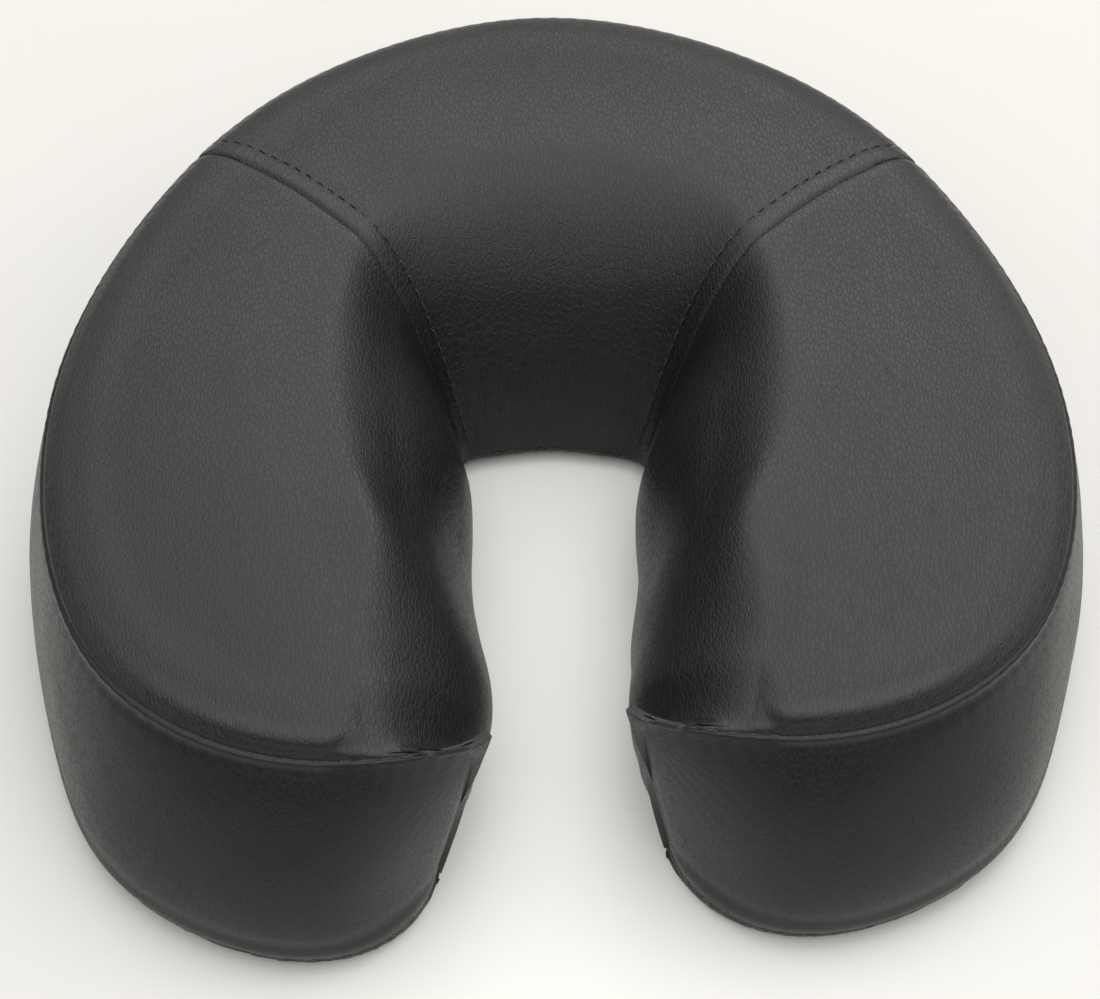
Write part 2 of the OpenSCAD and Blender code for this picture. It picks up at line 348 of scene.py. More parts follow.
def swell():
    """How the filling's pressure moves the cover, as offsets of the blank's points."""
    shape = blank()
    # The narrow ends of the feet stay out: their edges run together in a point
    part = slice(BLANK_SKIP, -BLANK_SKIP)
    out = normals(np.concatenate([shape[:, -1:], shape, shape[:, :1]], 1))[part, 1:-1]
    pin = held()[part]
    start = shape[part] - out * SLACK * (1 - pin[..., None])
    columns, rows = start.shape[:2]
    faces = []
    for i in range(columns - 1):
        for j in range(rows):
            k = (j + 1) % rows
            faces.append((i * rows + j, (i + 1) * rows + j, (i + 1) * rows + k, i * rows + k))
    mesh = bpy.data.meshes.new("blank")
    mesh.from_pydata(start.reshape(-1, 3).tolist(), [], faces)
    blank_object = bpy.data.objects.new("blank", mesh)
    bpy.context.scene.collection.objects.link(blank_object)
    group = blank_object.vertex_groups.new(name="held")
    for i, weight in enumerate(pin.ravel()):
        group.add([i], float(weight), "REPLACE")
    cloth = blank_object.modifiers.new("cloth", "CLOTH")
    cloth.settings.quality = 6
    cloth.settings.mass = 0.3
    cloth.settings.tension_stiffness = 5
    cloth.settings.compression_stiffness = 5
    cloth.settings.shear_stiffness = 2
    cloth.settings.bending_stiffness = 0.3
    cloth.settings.use_pressure = True
    cloth.settings.uniform_pressure_force = 4
    cloth.settings.vertex_group_mass = "held"
    cloth.settings.effector_weights.gravity = 0
    cloth.collision_settings.use_collision = False
    cloth.point_cache.frame_start = 1
    cloth.point_cache.frame_end = FRAMES
    for number in range(1, FRAMES + 1):
        bpy.context.scene.frame_set(number)
    view = blank_object.evaluated_get(bpy.context.evaluated_depsgraph_get())
    points = np.zeros(columns * rows * 3)
    view.data.vertices.foreach_get("co", points)
    bpy.context.scene.frame_set(1)
    bpy.data.objects.remove(blank_object)
    bpy.data.meshes.remove(mesh)
    moved = points.reshape(columns, rows, 3) - start
    far = np.linalg.norm(moved, axis=-1, keepdims=True)
    moved *= np.minimum(1, SWELL_CAP / np.maximum(far, 1e-9))
    moved += start - shape[part]
    inward = np.minimum((moved * out).sum(-1, keepdims=True) + FOAM_GIVES, 0)
    offsets = np.zeros_like(shape)
    offsets[part] = moved - out * inward
    for _ in range(CALM):
        offsets[1:-1] = (offsets[:-2] + 2 * offsets[1:-1] + offsets[2:]) / 4
    return offsets


def spread_rows(offsets, u, f):
    """Offsets of some rows of the blank, carried over to stations u and shares f across them."""
    along = Spline(offsets)(u * BLANK_STEPS)
    across = Spline(np.moveaxis(along, 1, 0))(f * (offsets.shape[1] - 1))
    return np.moveaxis(across, 0, 1)


SWELL = swell()
SWELL_TOP = SWELL[:, :BLANK_TOP]
SWELL_WALL = SWELL[:, BLANK_TOP - 1:BLANK_TOP + BLANK_WALL - 1]
SWELL_SIDE = np.concatenate([SWELL[:, :1], SWELL[:, :-BLANK_SIDE:-1]], 1)


# ------------------------------------------------------------------ the cover's surfaces
def stations_between(first, last, step, fine=()):
    """Stations from first to last in even steps, closer together next to those in fine."""
    marks = [first]
    u = first
    while u < last - 1e-9:
        gap = min([abs(u - x) for x in fine] + [9.0])
        u += step * (0.3 + 0.7 * float(smooth((gap - 0.25) / 0.3)))
        marks.append(min(u, last))
    return np.array(marks)


U_RIGHT = stations_between(0, CROWN_RIGHT, 0.024, [CROWN_RIGHT])
U_CROWN = stations_between(CROWN_RIGHT, END / 2, 0.024, [CROWN_RIGHT])
U_HALF = np.concatenate([U_RIGHT, U_CROWN[1:]])
U_TOP = np.concatenate([U_HALF, END - U_HALF[-2::-1]])
F_TOP = np.linspace(0, 1, 46) ** 1.45
F_WALL = 1 - np.linspace(1, 0, 52) ** 1.08
U_SIDE = stations_between(0, END, 0.026)
F_SIDE = np.linspace(0, 1, 58) ** 1.35
U_BASE = stations_between(LOOP_START, END - LOOP_START, 0.05)
F_BASE = 0.5 - 0.5 * np.cos(np.linspace(0, math.pi, 62))


def corner_fade(u):
    """0 on the sharp inner corner of each foot, 1 from a little way along its front."""
    return smooth(np.minimum(u, END - u) / 0.45)


def seam_pull(u):
    """How far the outer seam is drawn in under its stitches, and in which direction."""
    s = section(u)
    return unit(middle(u) - s.seam) * (0.65 * MM * corner_fade(u))[:, None, None]


def turned(u):
    """0 on the flat corners of the feet, 1 where the top panel rolls over into the seam."""
    right = smooth((u - PUCKER_RIGHT) / PUCKER_FADE)
    left = smooth((PUCKER_LEFT - u) / PUCKER_FADE)
    return right * left


def ruffle(travel, pitch, seed):
    """0 at each stitch and 1 halfway between two stitches, with a little irregularity."""
    wobble = 0.35 * np.sin(travel / (5.3 * pitch) + seed)
    wobble = wobble + 0.25 * np.sin(travel / (2.1 * pitch) + 2 * seed)
    return np.sin(math.pi * travel / pitch + wobble) ** 2


def crown_distance(p, u, at):
    """Distance over the surface from the crown seam at a station, square to the seam."""
    along = lengths(p, 0)
    i = int(np.argmin(abs(u - at)))
    seam_way = unit(np.gradient(p[i], axis=0))
    cross_way = unit(p[i + 2] - p[i - 2])
    square = np.linalg.norm(np.cross(seam_way, cross_way), axis=-1)
    return (along - along[i]) * square


def crown_seam_relief(distance, travel):
    """Height of the surface beside a crown seam; the crown lies on the side of positive distance."""
    d = distance / MM
    gather = ruffle(travel, TOPSTITCH_PITCH, 1.7)
    line = -0.50 * bump(d, 0, 0.45) - 0.12 * bump(d, 0, 2.2)
    band = 0.20 * (smooth((d - 0.5) / 1.2) - smooth((d - 4.8) / 1.5))
    groove = -(0.05 + 0.08 * (1 - gather)) * bump(d, TOPSTITCH_GAP / MM, 0.9)
    beyond = 0.10 * bump(d, 9.6, 2.2) * (0.7 + 0.5 * gather)
    cheek = 0.12 * bump(d, -2.2, 1.4)
    return (line + band + groove + beyond + cheek) * MM


def outer_seam_relief(d, travel, u):
    """Height of the top panel beside the outer seam; d is the distance from it."""
    d = d / MM
    gather = ruffle(travel, SEAM_PITCH, 0.4)
    over = turned(u)[:, None]
    edge = np.minimum(u, END - u)
    front = over * smooth((3.6 - edge) / 1.2)[:, None]
    wide = smooth((edge - 1.7) / 1.1)[:, None]
    roll = 0.45 * over * bump(d, 6.0, 3.6) + 0.85 * wide * bump(d, 13.0, 6.5)
    roll += front * bump(d, 5.2, 2.7) + 0.15 * over * (gather - 0.5) * bump(d, 3.0, 2.4)
    calm = (1 - over) * (0.15 * bump(d, 2.2, 1.3) * gather - 0.4 * bump(d, 3.5, 2.5))
    return (roll + calm) * MM


def top_points():
    """Points of the top panels and inner wall, with the pull of their seams."""
    s = section(U_TOP)
    top = top_surface(s, F_TOP) + spread_rows(SWELL_TOP, U_TOP, F_TOP)
    wall = wall_surface(s, F_WALL) + spread_rows(SWELL_WALL, U_TOP, F_WALL)
    p = np.concatenate([top, wall[:, 1:]], 1)
    out = normals(p)
    from_seam = lengths(p, 1)
    seam_travel = lengths(p[:, :1], 0)
    right = crown_distance(p, U_TOP, CROWN_RIGHT)
    left = -crown_distance(p, U_TOP, CROWN_LEFT)
    relief = crown_seam_relief(right, from_seam) + crown_seam_relief(left, from_seam)
    relief += outer_seam_relief(from_seam, seam_travel, U_TOP)
    away = smooth(from_seam / (12 * MM))
    relief += 0.30 * MM * away * uneven(p, 34 * MM, 5) + 0.10 * MM * away * uneven(p, 13 * MM, 6)
    relief += slope_creases(p, right, left, from_seam)
    relief *= corner_fade(U_TOP)[:, None]
    pull = seam_pull(U_TOP) * np.exp(-((from_seam / (0.8 * MM)) ** 2))[..., None]
    return p + out * relief[..., None] + pull, out, right, left, from_seam


def slope_creases(p, right, left, from_seam):
    """Fine creases low on the crown's inner slope, out from the lower end of each crown seam."""
    total = from_seam[:, -1:]
    low = smooth(1 - (total - from_seam) / (26 * MM)) * smooth((total - from_seam) / (5 * MM))
    creases = 0
    for distance, seed in ((right, 11), (left, 12)):
        near = smooth(1 - np.abs(distance - 9 * MM) / (16 * MM)) * (distance > 0)
        creases = creases + near * np.sin(distance / (0.75 * MM) + 3 * uneven(p, 12 * MM, seed))
    return 0.13 * MM * low * creases


def joined(p, u, edge, at):
    """Moves the columns beside one end of the side band so that its last column lies on a line."""
    end = p[0] if at == 0 else p[-1]
    far = lengths(end[None], 1)[0]
    travel = lengths(edge[None], 1)[0]
    share = far / far[-1] * travel[-1]
    line = np.stack([np.interp(share, travel, edge[:, c]) for c in range(3)], -1)
    near = 1 - smooth(np.abs(u - at) / 0.5)
    return p + near[:, None, None] * (line - end)


def side_points(first_edge, last_edge):
    """Points of the side band, with the lip under the outer seam and the rolled hem."""
    s = section(U_SIDE)
    p = side_surface(s, F_SIDE) + spread_rows(SWELL_SIDE, U_SIDE, F_SIDE)
    p = joined(p, U_SIDE, first_edge, 0)
    p = joined(p, U_SIDE, last_edge, END)
    out = -normals(p)
    from_seam = lengths(p, 1)
    to_hem = from_seam[:, -1:] - from_seam
    travel = lengths(p[:, :1], 0)
    d = from_seam / MM
    gather = ruffle(travel, SEAM_PITCH, 0.4)
    lip = turned(U_SIDE)[:, None]
    relief = lip * (0.40 * bump(d, 1.6, 0.9) * (0.85 + 0.25 * gather) - 0.25 * bump(d, 3.8, 1.6))
    relief += (1 - lip) * 0.18 * bump(d, 1.6, 1.1) * gather
    relief += 0.16 * (gather - 0.5) * bump(d, 5.0, 4.0)
    h = to_hem / MM
    relief += 0.45 * bump(h, 3.2, 2.2) - 0.35 * bump(h, 7.5, 2.6)
    away = smooth(from_seam / (10 * MM)) * smooth(to_hem / (8 * MM))
    relief += 0.35 * away * uneven(p, 38 * MM, 8) + 0.12 * away * uneven(p, 15 * MM, 9)
    for at, strength in ((0.0, 0.08), (float(END), 0.04)):
        relief += strength * corner_creases(travel, from_seam, U_SIDE, at)
    relief *= corner_fade(U_SIDE)[:, None]
    pull = seam_pull(U_SIDE) * np.exp(-((from_seam / (0.6 * MM)) ** 2))[..., None]
    return p + out * (relief * MM)[..., None] + pull, out, from_seam, to_hem


def corner_creases(travel, from_seam, u, at):
    """Fine diagonal creases fanning out over the side band from the inner corner of a foot."""
    start = travel[-1:] if at > 0 else travel[:1]
    along = np.abs(travel - start) / MM
    down = from_seam / MM
    reach = np.hypot(along, down)
    angle = np.arctan2(down, along + 1e-3)
    fan = smooth((angle - 0.45) / 0.3) * smooth((1.35 - angle) / 0.25)
    near = smooth((reach - 6) / 6) * smooth((44 - reach) / 22)
    return fan * near * np.sin(angle * 46 + 0.12 * reach) * (np.abs(u - at) < 2.5)[:, None]


def base_points():
    """Points of the loop-fabric pan, with its nap."""
    s = section(U_BASE)
    p = base_surface(s, F_BASE)
    out = normals(p)
    rng = np.random.default_rng(3)
    nap = rng.uniform(-1, 1, p.shape[:2])
    upright = smooth(p[..., 2] / (1.5 * MM))
    relief = upright * (0.22 * nap - 0.35) * MM
    p = p + out * relief[..., None]
    p[..., 2] = np.maximum(p[..., 2], 0)
    return p, out


# ------------------------------------------------------------------ meshes
def new_object(name, points, faces, material):
    mesh = bpy.data.meshes.new(name)
    mesh.from_pydata(points.tolist(), [], faces)
    mesh.validate()
    mesh.materials.append(material)
    for polygon in mesh.polygons:
        polygon.use_smooth = True
    mesh.set_sharp_from_angle(angle=math.radians(55))
    piece = bpy.data.objects.new(name, mesh)
    bpy.context.scene.collection.objects.link(piece)
    return piece


def quads(columns, rows, start=0, flip=False):
    i, j = np.meshgrid(np.arange(columns - 1), np.arange(rows - 1), indexing="ij")
    a = (start + i * rows + j).ravel()
    order = [a, a + rows, a + rows + 1, a + 1]
    if flip:
        order.reverse()
    return np.stack(order, 1).tolist()


def strip(first, second):
    """Faces between two rows of vertex numbers."""
    return [[first[k], first[k + 1], second[k + 1], second[k]] for k in range(len(first) - 1)]


def shell(name, outer, inner, material, flip=False):
    """A closed sheet of material between an outer and an inner grid of points."""
    columns, rows = outer.shape[:2]
    count = columns * rows
    faces = quads(columns, rows, 0, flip) + quads(columns, rows, count, not flip)
    number = np.arange(count).reshape(columns, rows)
    sides = [number[:, 0], number[-1, 1:], number[-2::-1, -1], number[0, -2::-1]]
    edge = np.concatenate(sides).tolist()
    other = [k + count for k in edge]
    faces += strip(edge, other) if flip else strip(other, edge)
    points = pulled(np.concatenate([outer.reshape(-1, 3), inner.reshape(-1, 3)]))
    return new_object(name, points, faces, material)


def mark(piece, name, values):
    """Stores one number per vertex under a name, the same on both faces of a sheet."""
    attribute = piece.data.attributes.new(name, "FLOAT", "POINT")
    both = np.concatenate([values.ravel(), values.ravel()])
    attribute.data.foreach_set("value", both.astype(np.float32))


def tube(name, rings, material):
    """A closed solid through rows of closed rings."""
    columns, rows = rings.shape[:2]
    faces = []
    for i in range(columns - 1):
        for j in range(rows):
            k = (j + 1) % rows
            faces.append([i * rows + j, (i + 1) * rows + j, (i + 1) * rows + k, i * rows + k])
    faces.append(list(range(rows)))
    faces.append([(columns - 1) * rows + j for j in range(rows - 1, -1, -1)])
    return new_object(name, pulled(rings.reshape(-1, 3)), faces, material)


# ------------------------------------------------------------------ materials
def node_tree(name):
    material = bpy.data.materials.new(name)
    material.use_nodes = True
    return material, material.node_tree, material.node_tree.nodes["Principled BSDF"]


def add(tree, kind, settings=None, **inputs):
    """A new node. Settings are its properties, inputs its sockets: values or nodes' outputs."""
    node = tree.nodes.new(kind)
    for key, value in (settings or {}).items():
        setattr(node, key, value)
    for key, value in inputs.items():
        numbered = key[0] == "_" and key[1:].isdigit()
        socket = node.inputs[int(key[1:]) if numbered else key.replace("_", " ")]
        if isinstance(value, bpy.types.NodeSocket):
            tree.links.new(value, socket)
        else:
            socket.default_value = value
    return node


def maths(tree, operation, a, b=0.0):
    return add(tree, "ShaderNodeMath", {"operation": operation}, _0=a, _1=b).outputs[0]


def ramp(tree, value, low, high, to_low=0.0, to_high=1.0):
    """Carries a value from one range to another, smoothly and clamped."""
    node = add(tree, "ShaderNodeMapRange", {"interpolation_type": "SMOOTHSTEP"}, Value=value,
               From_Min=low, From_Max=high, To_Min=to_low, To_Max=to_high)
    return node.outputs[0]


def colour_mix(tree, factor, a, b):
    node = tree.nodes.new("ShaderNodeMix")
    node.data_type = "RGBA"
    for index, value in ((0, factor), (6, a), (7, b)):
        if isinstance(value, bpy.types.NodeSocket):
            tree.links.new(value, node.inputs[index])
        else:
            node.inputs[index].default_value = value
    return node.outputs[2]


def leather(name, shade, grain, rough_low, gloss):
    """Satin black upholstery vinyl with an embossed pebble grain drawn out front to back, and painted
    shade in the grain's creases.
    """
    material, tree, shader = node_tree(name)
    place = add(tree, "ShaderNodeTexCoord").outputs["Object"]
    bent = add(tree, "ShaderNodeTexNoise", Vector=place, Scale=260.0, Detail=2.0)
    shifted = add(tree, "ShaderNodeVectorMath", {"operation": "MULTIPLY_ADD"},
                  _0=bent.outputs["Color"], _1=(0.0011, 0.0011, 0.0011), _2=place).outputs[0]
    drawn = add(tree, "ShaderNodeMapping", Vector=shifted, Scale=(1.0, 0.42, 0.5)).outputs[0]
    cells = {"feature": "DISTANCE_TO_EDGE"}
    pebble = add(tree, "ShaderNodeTexVoronoi", cells, Vector=drawn, Scale=870.0)
    small = add(tree, "ShaderNodeTexVoronoi", cells, Vector=drawn, Scale=1750.0)
    wide = add(tree, "ShaderNodeTexNoise", Vector=drawn, Scale=140.0, Detail=3.0, Roughness=0.6)
    cloudy = add(tree, "ShaderNodeTexNoise", Vector=place, Scale=22.0, Detail=3.0, Roughness=0.55)
    crease = ramp(tree, pebble.outputs["Distance"], 0.0, 0.16)
    fine = ramp(tree, small.outputs["Distance"], 0.0, 0.2)
    height = maths(tree, "MULTIPLY", crease, 0.62)
    height = maths(tree, "ADD", height, maths(tree, "MULTIPLY", fine, 0.2))
    height = maths(tree, "ADD", height, maths(tree, "MULTIPLY", wide.outputs["Fac"], 0.9))
    relief = add(tree, "ShaderNodeBump", Strength=grain, Distance=0.00022, Height=height)
    wear = add(tree, "ShaderNodeAttribute", {"attribute_name": "wear"}).outputs["Fac"]
    dark = tuple(0.72 * c for c in shade) + (1.0,)
    light = tuple(1.35 * c for c in shade) + (1.0,)
    worn = tuple(2.1 * c for c in shade) + (1.0,)
    body = colour_mix(tree, cloudy.outputs["Fac"], dark, light)
    # painted shade: the base colour darkens in the creases between the grain's pebbles, where they sink
    groove = maths(tree, "SUBTRACT", 1.0, crease)
    body = colour_mix(tree, maths(tree, "MULTIPLY", groove, 0.45), body, dark)
    body = colour_mix(tree, maths(tree, "MULTIPLY", wear, 0.55), body, worn)
    tree.links.new(body, shader.inputs["Base Color"])
    rough = ramp(tree, cloudy.outputs["Fac"], 0.3, 0.7, rough_low, rough_low + 0.06)
    rough = maths(tree, "ADD", rough, maths(tree, "MULTIPLY", groove, 0.12))
    rough = maths(tree, "SUBTRACT", rough, maths(tree, "MULTIPLY", wear, 0.06))
    tree.links.new(rough, shader.inputs["Roughness"])
    tree.links.new(relief.outputs["Normal"], shader.inputs["Normal"])
    shader.inputs["IOR"].default_value = 1.5
    shader.inputs["Specular IOR Level"].default_value = gloss
    return material


def loop_fabric(name):
    """Black brushed loop fabric: matted loops with a soft, uneven nap."""
    material, tree, shader = node_tree(name)
    place = add(tree, "ShaderNodeTexCoord").outputs["Object"]
    loops = add(tree, "ShaderNodeTexVoronoi", Vector=place, Scale=1500.0)
    matted = add(tree, "ShaderNodeTexNoise", Vector=place, Scale=420.0, Detail=6.0, Roughness=0.75)
    patches = add(tree, "ShaderNodeTexNoise", Vector=place, Scale=45.0, Detail=3.0)
    height = maths(tree, "MULTIPLY", loops.outputs["Distance"], -0.7)
    height = maths(tree, "ADD", height, matted.outputs["Fac"])
    relief = add(tree, "ShaderNodeBump", Strength=0.9, Distance=0.0005, Height=height)
    pile = ramp(tree, matted.outputs["Fac"], 0.35, 0.65)
    body = colour_mix(tree, pile, (0.006, 0.006, 0.007, 1), (0.03, 0.029, 0.03, 1))
    faded = ramp(tree, patches.outputs["Fac"], 0.5, 0.8, 0.0, 0.5)
    body = colour_mix(tree, faded, body, (0.018, 0.015, 0.013, 1))
    tree.links.new(body, shader.inputs["Base Color"])
    tree.links.new(ramp(tree, matted.outputs["Fac"], 0.3, 0.7, 0.85, 1.0), shader.inputs["Roughness"])
    tree.links.new(relief.outputs["Normal"], shader.inputs["Normal"])
    shader.inputs["Specular IOR Level"].default_value = 0.2
    shader.inputs["Sheen Weight"].default_value = 0.25
    shader.inputs["Sheen Roughness"].default_value = 0.5
    return material


def thread(name):
    """Black bonded polyester thread with a fine twist."""
    material, tree, shader = node_tree(name)
    place = add(tree, "ShaderNodeTexCoord").outputs["Object"]
    bands = {"bands_direction": "DIAGONAL"}
    twist = add(tree, "ShaderNodeTexWave", bands, Vector=place, Scale=900.0, Distortion=1.5)
    fuzz = add(tree, "ShaderNodeTexNoise", Vector=place, Scale=2200.0, Detail=3.0)
    height = maths(tree, "ADD", twist.outputs["Fac"], maths(tree, "MULTIPLY", fuzz.outputs["Fac"], 0.5))
    relief = add(tree, "ShaderNodeBump", Strength=0.6, Distance=0.00012, Height=height)
    body = colour_mix(tree, fuzz.outputs["Fac"], (0.020, 0.020, 0.022, 1), (0.055, 0.055, 0.058, 1))
    tree.links.new(body, shader.inputs["Base Color"])
    tree.links.new(ramp(tree, twist.outputs["Fac"], 0.2, 0.8, 0.42, 0.62), shader.inputs["Roughness"])
    tree.links.new(relief.outputs["Normal"], shader.inputs["Normal"])
    return material


def foam(name, shade, cells):
    """Open-cell foam: pores of mixed size, darkened with painted shade, and a cut, matt face."""
    material, tree, shader = node_tree(name)
    place = add(tree, "ShaderNodeTexCoord").outputs["Object"]
    pores = add(tree, "ShaderNodeTexVoronoi", Vector=place, Scale=cells)
    tiny = add(tree, "ShaderNodeTexNoise", Vector=place, Scale=cells * 2.2, Detail=4.0)
    hole = ramp(tree, pores.outputs["Distance"], 0.15, 0.5)
    # painted shade: the colour darkens towards the middle of each pore, where it sinks in
    body = colour_mix(tree, hole, tuple(0.6 * c for c in shade) + (1.0,), shade + (1.0,))
    speckle = ramp(tree, tiny.outputs["Fac"], 0.3, 0.7, 0.0, 0.3)
    body = colour_mix(tree, speckle, body, tuple(0.8 * c for c in shade) + (1.0,))
    height = maths(tree, "ADD", hole, maths(tree, "MULTIPLY", tiny.outputs["Fac"], 0.5))
    relief = add(tree, "ShaderNodeBump", Strength=0.8, Distance=0.0005, Height=height)
    tree.links.new(body, shader.inputs["Base Color"])
    tree.links.new(ramp(tree, tiny.outputs["Fac"], 0.3, 0.7, 0.85, 0.98), shader.inputs["Roughness"])
    tree.links.new(relief.outputs["Normal"], shader.inputs["Normal"])
    return material


def studio_floor(name):
    """Plain pale floor with painted light: paler in the middle round the cushion's slot, against the
    shade the cushion casts there, with a trace of unevenness in tone.
    """
    material, tree, shader = node_tree(name)
    place = add(tree, "ShaderNodeTexCoord").outputs["Object"]
    cloud = add(tree, "ShaderNodeTexNoise", Vector=place, Scale=3.0, Detail=3.0)
    away = add(tree, "ShaderNodeVectorMath", {"operation": "DISTANCE"}, _0=place, _1=(0.0, -0.06, 0.0))
    outer = colour_mix(tree, cloud.outputs["Fac"], (0.65, 0.64, 0.615, 1), (0.68, 0.67, 0.645, 1))
    inner = colour_mix(tree, cloud.outputs["Fac"], (0.90, 0.89, 0.86, 1), (0.92, 0.91, 0.88, 1))
    # painted light: the floor's colour is paler within 7 cm of the slot and darker from 24 cm out
    body = colour_mix(tree, ramp(tree, away.outputs["Value"], 0.07, 0.24), inner, outer)
    tree.links.new(body, shader.inputs["Base Color"])
    shader.inputs["Roughness"].default_value = 0.9
    shader.inputs["Specular IOR Level"].default_value = 0.15
    return material


# ------------------------------------------------------------------ stitches
STITCH_SIDES = 8
STITCH_RINGS = 9


def stitch(a, b, out, radius, sag):
    """Points of one stitch from a to b: it rises out of one hole and dives into the next."""
    f = np.linspace(0, 1, STITCH_RINGS)[:, None]
    line = mix(a, b, f) + out * (radius * 1.1 * np.sin(math.pi * f) - sag * (2 * f - 1) ** 6)
    along = unit(np.gradient(line, axis=0))
    side = unit(np.cross(along, out))
    up = np.cross(side, along)
    size = radius * np.sqrt(np.clip(1 - (2 * f - 1) ** 8, 0.15, 1))
    turn = np.arange(STITCH_SIDES) * 2 * math.pi / STITCH_SIDES
    rings = side[:, None] * np.cos(turn)[None, :, None] + up[:, None] * np.sin(turn)[None, :, None]
    return line[:, None] + rings * size[:, None]


def stitch_run(name, stitches, material):
    """All the stitches of one seam as one piece."""
    points = []
    faces = []
    for rings in stitches:
        start = len(points) * STITCH_RINGS * STITCH_SIDES
        points.append(rings.reshape(-1, 3))
        for i in range(STITCH_RINGS - 1):
            for j in range(STITCH_SIDES):
                k = (j + 1) % STITCH_SIDES
                row = start + i * STITCH_SIDES
                faces.append([row + j, row + k, row + STITCH_SIDES + k, row + STITCH_SIDES + j])
        faces.append([start + j for j in range(STITCH_SIDES - 1, -1, -1)])
        faces.append([start + (STITCH_RINGS - 1) * STITCH_SIDES + j for j in range(STITCH_SIDES)])
    return new_object(name, pulled(np.concatenate(points)), faces, material)


def along_path(path, out, pitch, share, radius, sag, seed):
    """Stitches in a row along a path of points with their outward directions."""
    rng = np.random.default_rng(seed)
    travel = lengths(path[:, None], 0)[:, 0]
    count = int(travel[-1] / pitch)
    made = []
    for k in range(count):
        start = (k + 0.5 - share / 2 + rng.uniform(-0.03, 0.03)) * travel[-1] / count
        stop = start + share * travel[-1] / count
        ends = [np.array([np.interp(t, travel, path[:, c]) for c in range(3)]) for t in (start, stop)]
        way = unit(np.array([np.interp((start + stop) / 2, travel, out[:, c]) for c in range(3)]))
        made.append(stitch(ends[0], ends[1], way, radius, sag))
    return made


# ------------------------------------------------------------------ the pieces
top, top_out, from_right, from_left, from_seam = top_points()
side, side_out, side_from_seam, side_to_hem = side_points(top[0], top[-1])
base, base_out = base_points()

vinyl = leather("cover_vinyl_top", (0.0058, 0.0060, 0.0070), 0.50, 0.37, 0.5)
vinyl_side = leather("cover_vinyl_side", (0.0055, 0.0056, 0.0066), 0.30, 0.34, 0.42)
loops = loop_fabric("loop_fabric_black")
sewing = thread("sewing_thread_black")
firm = foam("firm_foam", (0.62, 0.58, 0.44), 900.0)
soft = foam("soft_foam", (0.80, 0.74, 0.56), 700.0)

first_crown = int(np.argmin(abs(U_TOP - CROWN_RIGHT)))
last_crown = int(np.argmin(abs(U_TOP - CROWN_LEFT)))
top_wear = 0.8 * bump(from_right / MM, -2.4, 1.8) + 0.8 * bump(from_left / MM, -2.4, 1.8)
top_wear += 0.9 * (bump(from_right / MM, 3, 2.2) + bump(from_left / MM, 3, 2.2))
top_wear += 0.7 * bump(from_seam / MM, 5, 3.5)
panels = (
    ("cheek_panel_right", 0, first_crown + 1),
    ("crown_panel", first_crown, last_crown + 1),
    ("cheek_panel_left", last_crown, len(U_TOP)),
)
for node, first, stop in panels:
    outer = top[first:stop]
    piece = shell("sewn_" + node, outer, outer - top_out[first:stop] * SKIN, vinyl)
    mark(piece, "wear", np.clip(top_wear[first:stop], 0, 1))
    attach(piece, "root")
    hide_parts(node)

band = shell("sewn_boxing_band", side, side - side_out * SKIN, vinyl_side, flip=True)
side_wear = 0.9 * bump(side_from_seam / MM, 1.5, 1.1) + 0.8 * bump(side_to_hem / MM, 2.5, 2.5)
mark(band, "wear", np.clip(side_wear, 0, 1))
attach(band, "root")
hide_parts("boxing_band")

# The sheet is thinner where it narrows to a point at the corners of the feet
base_width = np.linalg.norm(base[:, -1] - base[:, 0], axis=-1)
sheet_depth = np.minimum(LOOP_SKIN, 0.2 * base_width)
lining = base - base_out * sheet_depth[:, None, None]
pan = shell("sewn_loop_base", base, lining, loops)
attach(pan, "root")
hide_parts("loop_base_panel")


def foam_rings(depth, f_wall, f_side, closed_base):
    """Rings of a foam block one depth inside the cover."""
    u = stations_between(FOAM_START, END - FOAM_START, 0.08)
    s = section(u)
    wall = wall_surface(s, f_wall)
    band_line = side_surface(s, f_side)
    if closed_base:
        parts = [wall, base_surface(s, np.linspace(0, 1, 12))[:, 1:-1], band_line]
    else:
        parts = [top_surface(s, np.linspace(0, 1, 18)), wall[:, 1:], band_line[:, :-1]]
    line = np.concatenate(parts, 1)
    return line + depth * unit(middle(u) - line)


FOAM_DEPTH = 6.0 * MM
WALL_SPLIT = 0.55
SIDE_SPLIT = 0.5
base_rings = foam_rings(
    FOAM_DEPTH, np.linspace(WALL_SPLIT, 1, 12), np.linspace(1, SIDE_SPLIT, 10), True)
comfort_rings = foam_rings(
    FOAM_DEPTH, np.linspace(0, WALL_SPLIT, 14), np.linspace(SIDE_SPLIT, 0, 10), False)
for node, rings, material, slot_name in (
    ("foam_base", base_rings, firm, "firm_foam"),
    ("foam_comfort_layer", comfort_rings, soft, "soft_foam"),
):
    block = tube("cut_" + node, rings, material)
    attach(block, "root")
    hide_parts(node)


def topstitch(distance):
    """Path along the crown panel at the topstitch distance from its seam, from the outer seam down."""
    path = []
    out = []
    for j in range(2, top.shape[1] - 2):
        order = np.argsort(distance[:, j])
        at = np.interp(TOPSTITCH_GAP, distance[order, j], order)
        i = min(int(at), len(U_TOP) - 2)
        path.append(mix(top[i, j], top[i + 1, j], at - i))
        out.append(top_out[i, j])
    return np.array(path), np.array(out)


# The seams' threads lie tucked in, and end a little before the sharp corners of the feet
sewn = (U_SIDE > 0.3) & (U_SIDE < END - 0.3)
seam_path = (side[:, 0] - side_out[:, 0] * 0.45 * MM)[sewn]
beside = [int(np.argmin(abs(U_TOP - u))) for u in U_SIDE]
seam_out = unit(top_out[beside, 4] + side_out[:, 4])[sewn]
hem_path = (side[:, -1] - side_out[:, -2] * 0.7 * MM)[sewn]
hem_out = unit(side_out[:, -2] + [0, 0, -1.2])[sewn]
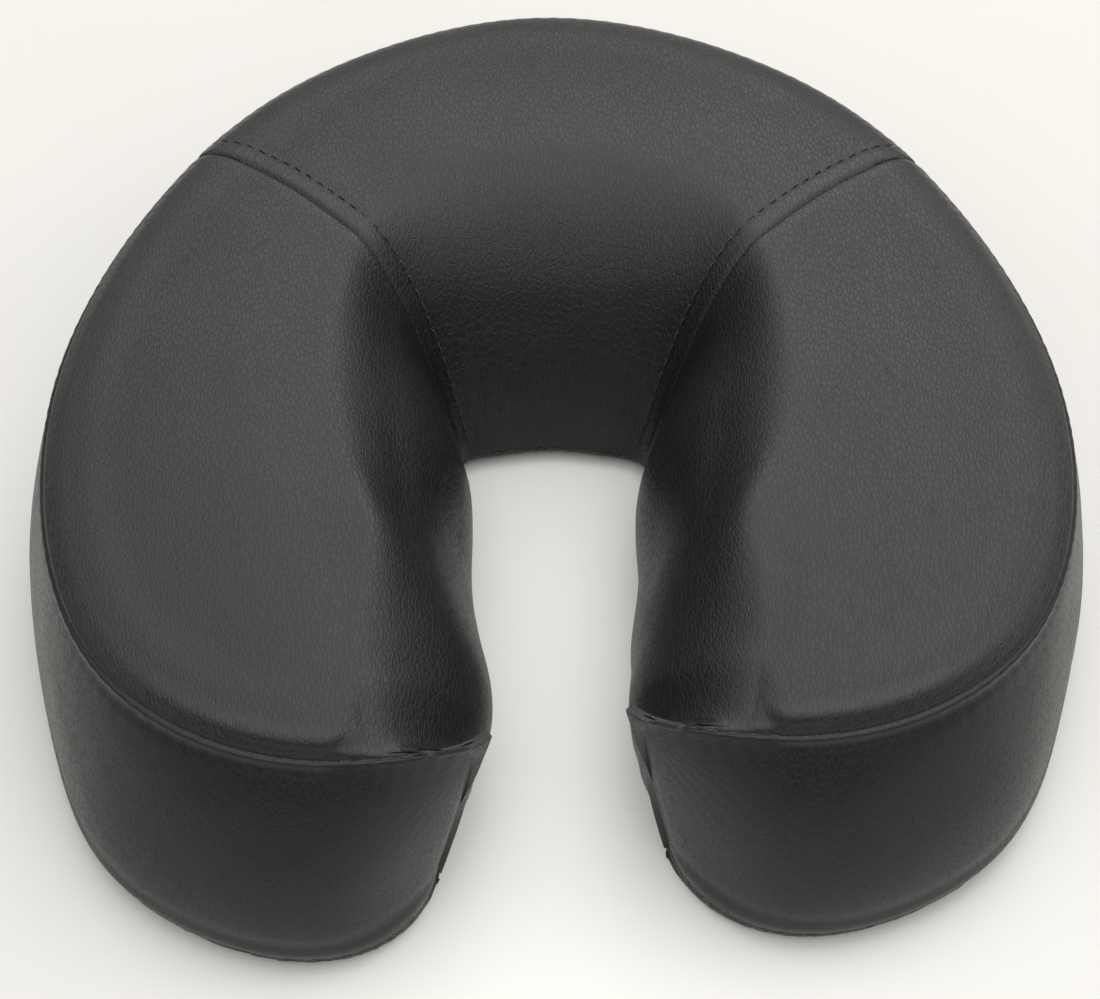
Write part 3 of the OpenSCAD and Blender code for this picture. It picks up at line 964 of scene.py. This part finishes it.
# Path, outward directions, pitch, share of the pitch, radius, sag and seed of each run
runs = {
    "topstitch_right": (*topstitch(from_right), TOPSTITCH_PITCH, 0.72, 0.22 * MM, 0.3 * MM, 21),
    "topstitch_left": (*topstitch(from_left), TOPSTITCH_PITCH, 0.72, 0.22 * MM, 0.3 * MM, 22),
    "boxing_seam_thread": (seam_path, seam_out, SEAM_PITCH, 0.80, 0.26 * MM, 0.5 * MM, 23),
    "base_seam_thread": (hem_path, hem_out, SEAM_PITCH, 0.78, 0.30 * MM, 0.5 * MM, 24),
}
for node, run in runs.items():
    piece = stitch_run("sewn_" + node, along_path(*run), sewing)
    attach(piece, "root")
    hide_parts(node)


# ------------------------------------------------------------------ floor, light and camera
FLOOR_HALF = 4.0
floor_points = np.array([[-1, -1, 0], [1, -1, 0], [1, 1, 0], [-1, 1, 0]]) * FLOOR_HALF
floor_points[:, 2] = -0.0002
floor = new_object("studio_floor", floor_points, [[0, 1, 2, 3]], studio_floor("studio_floor"))


def area_light(name, place, width, depth, radiance, colour):
    """A level panel of soft light that shines straight down."""
    lamp = bpy.data.lights.new(name, "AREA")
    lamp.shape = "RECTANGLE"
    lamp.size = width
    lamp.size_y = depth
    lamp.energy = radiance * math.pi * width * depth
    lamp.color = colour
    holder = bpy.data.objects.new(name, lamp)
    holder.location = place
    bpy.context.scene.collection.objects.link(holder)


area_light("ceiling", (0.3, 0.4, 1.6), 6.0, 7.6, 1.12, (1.0, 0.99, 0.97))
area_light("right_panel", (1.3, 1.4, 1.5), 2.8, 3.2, 0.70, (1.0, 0.98, 0.95))
area_light("back_panel", (-0.1, 2.7, 1.55), 2.6, 3.0, 0.60, (1.0, 0.99, 0.98))
area_light("overhead_panel", (0.0, -0.35, 1.45), 1.6, 1.7, 0.50, (1.0, 0.99, 0.97))

world = bpy.data.worlds.new("studio")
bpy.context.scene.world = world
world.use_nodes = True
sky = world.node_tree.nodes["Background"]
sky.inputs["Color"].default_value = (0.95, 0.97, 1.0, 1)
sky.inputs["Strength"].default_value = 0.10

CAMERA_AT = Vector((-13.2, -562.8, 667.7)) * MM
CAMERA_PITCH = math.radians(49.50)
CAMERA_YAW = math.radians(-1.17)
CAMERA_ROLL = math.radians(1.21)
ahead = Vector((
    -math.sin(CAMERA_YAW) * math.cos(CAMERA_PITCH),
    math.cos(CAMERA_YAW) * math.cos(CAMERA_PITCH),
    -math.sin(CAMERA_PITCH),
))
level = Vector((math.cos(CAMERA_YAW), math.sin(CAMERA_YAW), 0))
upright = level.cross(ahead)
across = math.cos(CAMERA_ROLL) * level + math.sin(CAMERA_ROLL) * upright
above = math.cos(CAMERA_ROLL) * upright - math.sin(CAMERA_ROLL) * level
turn = Matrix((across, above, -ahead)).transposed().to_4x4()
lens = bpy.data.cameras.new("camera")
lens.sensor_fit = "HORIZONTAL"
lens.sensor_width = 36.0
lens.lens = 96.97
lens.clip_start = 0.05
lens.clip_end = 50
camera = bpy.data.objects.new("camera", lens)
camera.matrix_world = Matrix.Translation(CAMERA_AT) @ turn
bpy.context.scene.collection.objects.link(camera)
bpy.context.scene.camera = camera
bpy.context.scene.view_settings.view_transform = "Standard"
